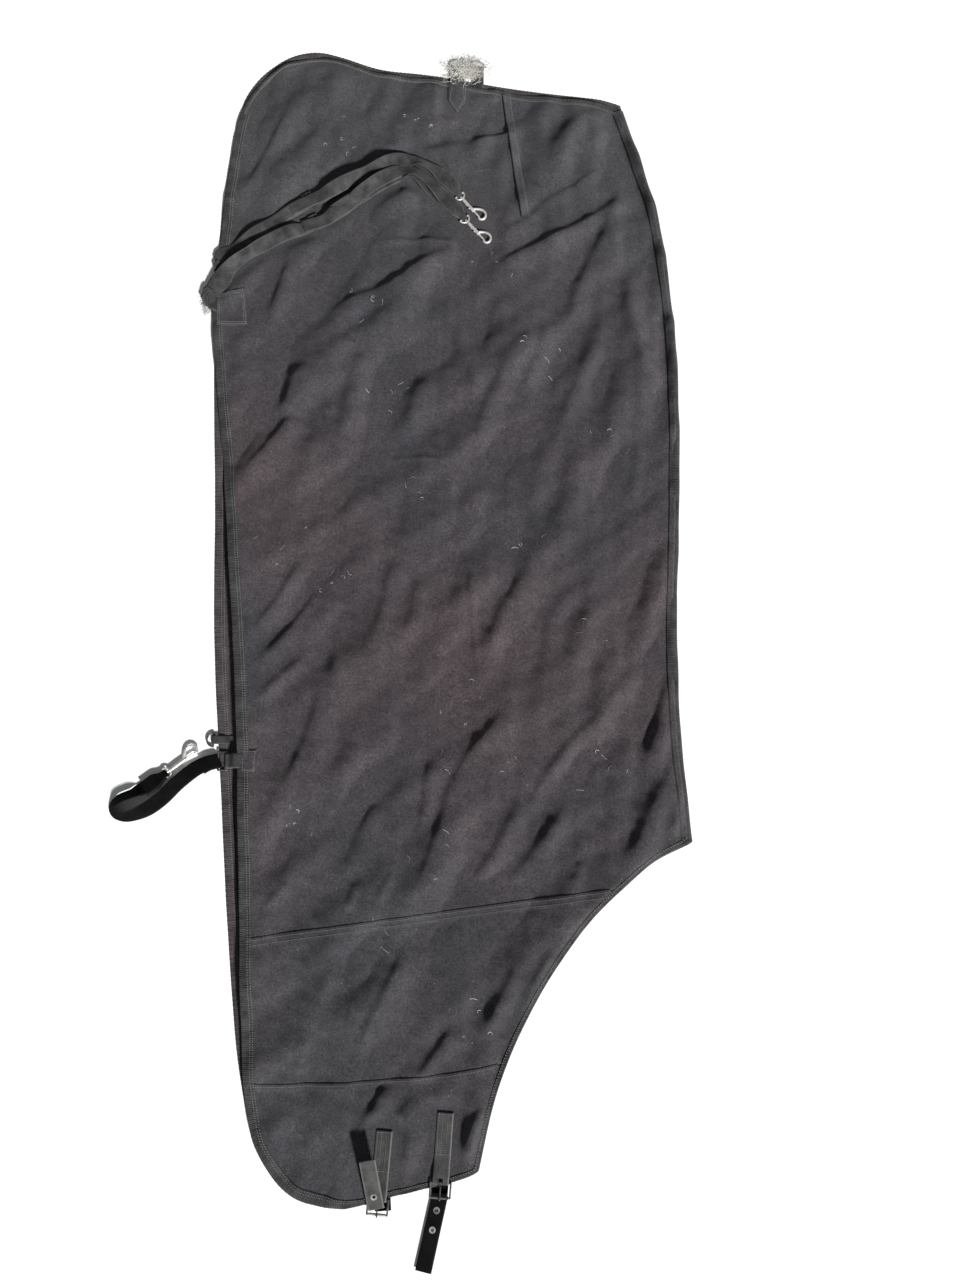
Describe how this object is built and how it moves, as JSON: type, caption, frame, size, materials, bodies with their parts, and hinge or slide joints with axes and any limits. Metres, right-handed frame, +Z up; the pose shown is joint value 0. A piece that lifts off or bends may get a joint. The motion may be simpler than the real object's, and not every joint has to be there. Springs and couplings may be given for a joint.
{
  "type": "horse fly sheet",
  "caption": "Cotton sheet for a horse's back, folded in half along the spine, with bound edges, crossing leg straps, a belly strap and buckled chest straps.",
  "frame": {"origin": "on the ground under the folded sheet, on the underside of the far half, about midway along it and midway between hem and spine", "axes": "+Z up out of the ground, +Y from the chest towards the tail, +X from the belly hem towards the spine fold"},
  "size_m": [0.9599, 2.0973, 0.034],
  "materials": {
    "cloth": "matte",
    "binding_tape": "matte",
    "webbing": "matte",
    "nickel_plate": "polished",
    "buckle_steel": "satin",
    "eyelet_brass": "satin"
  },
  "bodies": {
    "far_half": {"far_rear_panel": "cloth", "far_shoulder_panel": "cloth", "far_chest_panel": "cloth", "far_hem_binding": "binding_tape", "far_tail_binding": "binding_tape", "far_neck_binding": "binding_tape", "far_front_binding": "binding_tape", "spine_tape": "binding_tape", "far_tail_tab": "webbing", "far_belly_tab": "webbing", "right_billet_root": "webbing", "left_billet_root": "webbing"},
    "near_half": {"near_rear_panel": "cloth", "near_shoulder_panel": "cloth", "near_chest_panel": "cloth", "near_hem_binding": "binding_tape", "near_tail_binding": "binding_tape", "near_neck_binding": "binding_tape", "near_front_binding": "binding_tape", "leg_strap_patch": "cloth", "belly_patch": "cloth", "belly_tab": "webbing", "near_tail_tab": "webbing", "near_leg_strap_anchor": "webbing", "far_leg_strap_anchor": "webbing", "left_chape": "webbing", "right_chape": "webbing", "left_buckle_frame": "buckle_steel", "left_buckle_tongue": "buckle_steel", "left_billet": "webbing", "left_billet_eyelet": "eyelet_brass"},
    "belly_ring": {"belly_ring": "nickel_plate"},
    "belly_strap": {"belly_strap_web": "webbing"},
    "near_tail_ring": {"near_tail_ring": "nickel_plate"},
    "far_tail_ring": {"far_tail_ring": "nickel_plate"},
    "far_belly_ring": {"far_belly_ring": "nickel_plate"},
    "right_buckle": {"right_buckle_frame": "buckle_steel"},
    "right_tongue": {"right_buckle_tongue": "buckle_steel"},
    "right_roller": {"right_buckle_roller": "buckle_steel"},
    "left_roller": {"left_buckle_roller": "buckle_steel"},
    "right_billet": {"right_billet": "webbing", "right_billet_eyelets": "eyelet_brass"},
    "near_leg_strap": {"near_leg_strap_web": "webbing"},
    "near_leg_slide": {"near_leg_slide": "buckle_steel"},
    "far_leg_strap": {"far_leg_strap_web": "webbing"},
    "far_leg_slide": {"far_leg_slide": "buckle_steel"},
    "near_leg_snap_eye": {"near_leg_snap_eye": "nickel_plate"},
    "near_leg_snap": {"near_leg_snap_body": "nickel_plate", "near_leg_snap_spring": "nickel_plate"},
    "near_leg_snap_bolt": {"near_leg_snap_bolt": "nickel_plate"},
    "far_leg_snap_eye": {"far_leg_snap_eye": "nickel_plate"},
    "far_leg_snap": {"far_leg_snap_body": "nickel_plate", "far_leg_snap_spring": "nickel_plate"},
    "far_leg_snap_bolt": {"far_leg_snap_bolt": "nickel_plate"},
    "belly_snap_eye": {"belly_snap_eye": "nickel_plate"},
    "belly_snap": {"belly_snap_body": "nickel_plate", "belly_snap_spring": "nickel_plate"},
    "belly_snap_bolt": {"belly_snap_bolt": "nickel_plate"}
  },
  "joints": [
    {"name": "spine_fold", "type": "hinge", "parent": "far_half", "child": "near_half", "pos_m": [0.419, 0, 0.00315], "axis": [0, 1, 0], "range_deg": [0, 170]},
    {"name": "near_leg_strap_root", "type": "hinge", "parent": "near_half", "child": "near_leg_strap", "pos_m": [-0.421, 0.52, 0.0056], "axis": [0, -1, 0], "range_deg": [0, 170]},
    {"name": "near_leg_slide_move", "type": "slide", "parent": "near_leg_strap", "child": "near_leg_slide", "axis": [0.9029, 0.4299, 0], "range_m": [-0.01, 0.01]},
    {"name": "near_leg_snap_eye_lift", "type": "hinge", "parent": "near_leg_strap", "child": "near_leg_snap_eye", "pos_m": [0.036, 0.659, 0.0104], "axis": [-0.766, -0.6428, 0], "range_deg": [0, 80]},
    {"name": "near_leg_snap_swivel", "type": "hinge", "parent": "near_leg_snap_eye", "child": "near_leg_snap", "pos_m": [0.036, 0.659, 0.0104], "axis": [0.6428, -0.766, 0], "range_deg": [0, 120]},
    {"name": "near_leg_snap_bolt_pull", "type": "slide", "parent": "near_leg_snap", "child": "near_leg_snap_bolt", "axis": [-0.6428, 0.766, 0], "range_m": [0, 0.007], "stiffness_N_per_m": 300, "springref_m": -0.002, "deforming": ["near_leg_snap_spring"]},
    {"name": "far_leg_strap_root", "type": "hinge", "parent": "near_half", "child": "far_leg_strap", "pos_m": [-0.421, 0.566, 0.0056], "axis": [0, -1, 0], "range_deg": [0, 170]},
    {"name": "far_leg_slide_move", "type": "slide", "parent": "far_leg_strap", "child": "far_leg_slide", "axis": [0.8564, 0.5163, 0], "range_m": [-0.01, 0.01]},
    {"name": "far_leg_snap_eye_lift", "type": "hinge", "parent": "far_leg_strap", "child": "far_leg_snap_eye", "pos_m": [0.027, 0.705, 0.0104], "axis": [-0.766, -0.6428, 0], "range_deg": [0, 80]},
    {"name": "far_leg_snap_swivel", "type": "hinge", "parent": "far_leg_snap_eye", "child": "far_leg_snap", "pos_m": [0.027, 0.705, 0.0104], "axis": [0.6428, -0.766, 0], "range_deg": [0, 120]},
    {"name": "far_leg_snap_bolt_pull", "type": "slide", "parent": "far_leg_snap", "child": "far_leg_snap_bolt", "axis": [-0.6428, 0.766, 0], "range_m": [0, 0.007], "stiffness_N_per_m": 300, "springref_m": -0.002, "deforming": ["far_leg_snap_spring"]},
    {"name": "belly_ring_lift", "type": "hinge", "parent": "near_half", "child": "belly_ring", "pos_m": [-0.352, -0.321, 0.00525], "axis": [0, 1, 0], "range_deg": [0, 60]},
    {"name": "belly_strap_lift", "type": "hinge", "parent": "belly_ring", "child": "belly_strap", "pos_m": [-0.366, -0.321, 0.00525], "axis": [0, 1, 0], "range_deg": [0, 60]},
    {"name": "belly_snap_eye_lift", "type": "hinge", "parent": "belly_strap", "child": "belly_snap_eye", "pos_m": [-0.452, -0.342, 0.00525], "axis": [0.6018, -0.7986, 0], "range_deg": [0, 80]},
    {"name": "belly_snap_swivel", "type": "hinge", "parent": "belly_snap_eye", "child": "belly_snap", "pos_m": [-0.452, -0.342, 0.00525], "axis": [0.7986, 0.6018, 0], "range_deg": [0, 120]},
    {"name": "belly_snap_bolt_pull", "type": "slide", "parent": "belly_snap", "child": "belly_snap_bolt", "axis": [-0.7986, -0.6018, 0], "range_m": [0, 0.007], "stiffness_N_per_m": 300, "springref_m": -0.002, "deforming": ["belly_snap_spring"]},
    {"name": "near_tail_ring_lift", "type": "hinge", "parent": "near_half", "child": "near_tail_ring", "pos_m": [0.022, 0.974, 0.00525], "axis": [1, 0, 0], "range_deg": [0, 120]},
    {"name": "far_tail_ring_lift", "type": "hinge", "parent": "far_half", "child": "far_tail_ring", "pos_m": [0.061, 0.974, 0.0033], "axis": [1, 0, 0], "range_deg": [0, 80]},
    {"name": "far_belly_ring_lift", "type": "hinge", "parent": "far_half", "child": "far_belly_ring", "pos_m": [-0.376, -0.286, 0.0033], "axis": [0, 1, 0], "range_deg": [0, 75]},
    {"name": "right_buckle_lift", "type": "hinge", "parent": "near_half", "child": "right_buckle", "pos_m": [0.005, -0.961, 0.0095], "axis": [-0.9974, 0.0715, 0], "range_deg": [0, 90]},
    {"name": "right_tongue_lift", "type": "hinge", "parent": "right_buckle", "child": "right_tongue", "pos_m": [0.005, -0.961, 0.0095], "axis": [-0.9974, 0.0715, 0], "range_deg": [0, 35]},
    {"name": "right_roller_spin", "type": "hinge", "parent": "right_buckle", "child": "right_roller", "pos_m": [0.0035, -0.98195, 0.0095], "axis": [0.9974, -0.0715, 0], "continuous": true},
    {"name": "left_roller_spin", "type": "hinge", "parent": "near_half", "child": "left_roller", "pos_m": [-0.09172, -1.00593, 0.0095], "axis": [0.9966, -0.0819, 0], "continuous": true},
    {"name": "right_billet_lift", "type": "hinge", "parent": "far_half", "child": "right_billet", "pos_m": [0.0026, -0.986, 0.0029], "axis": [-0.9744, 0.225, 0], "range_deg": [0, 75]}
  ]
}
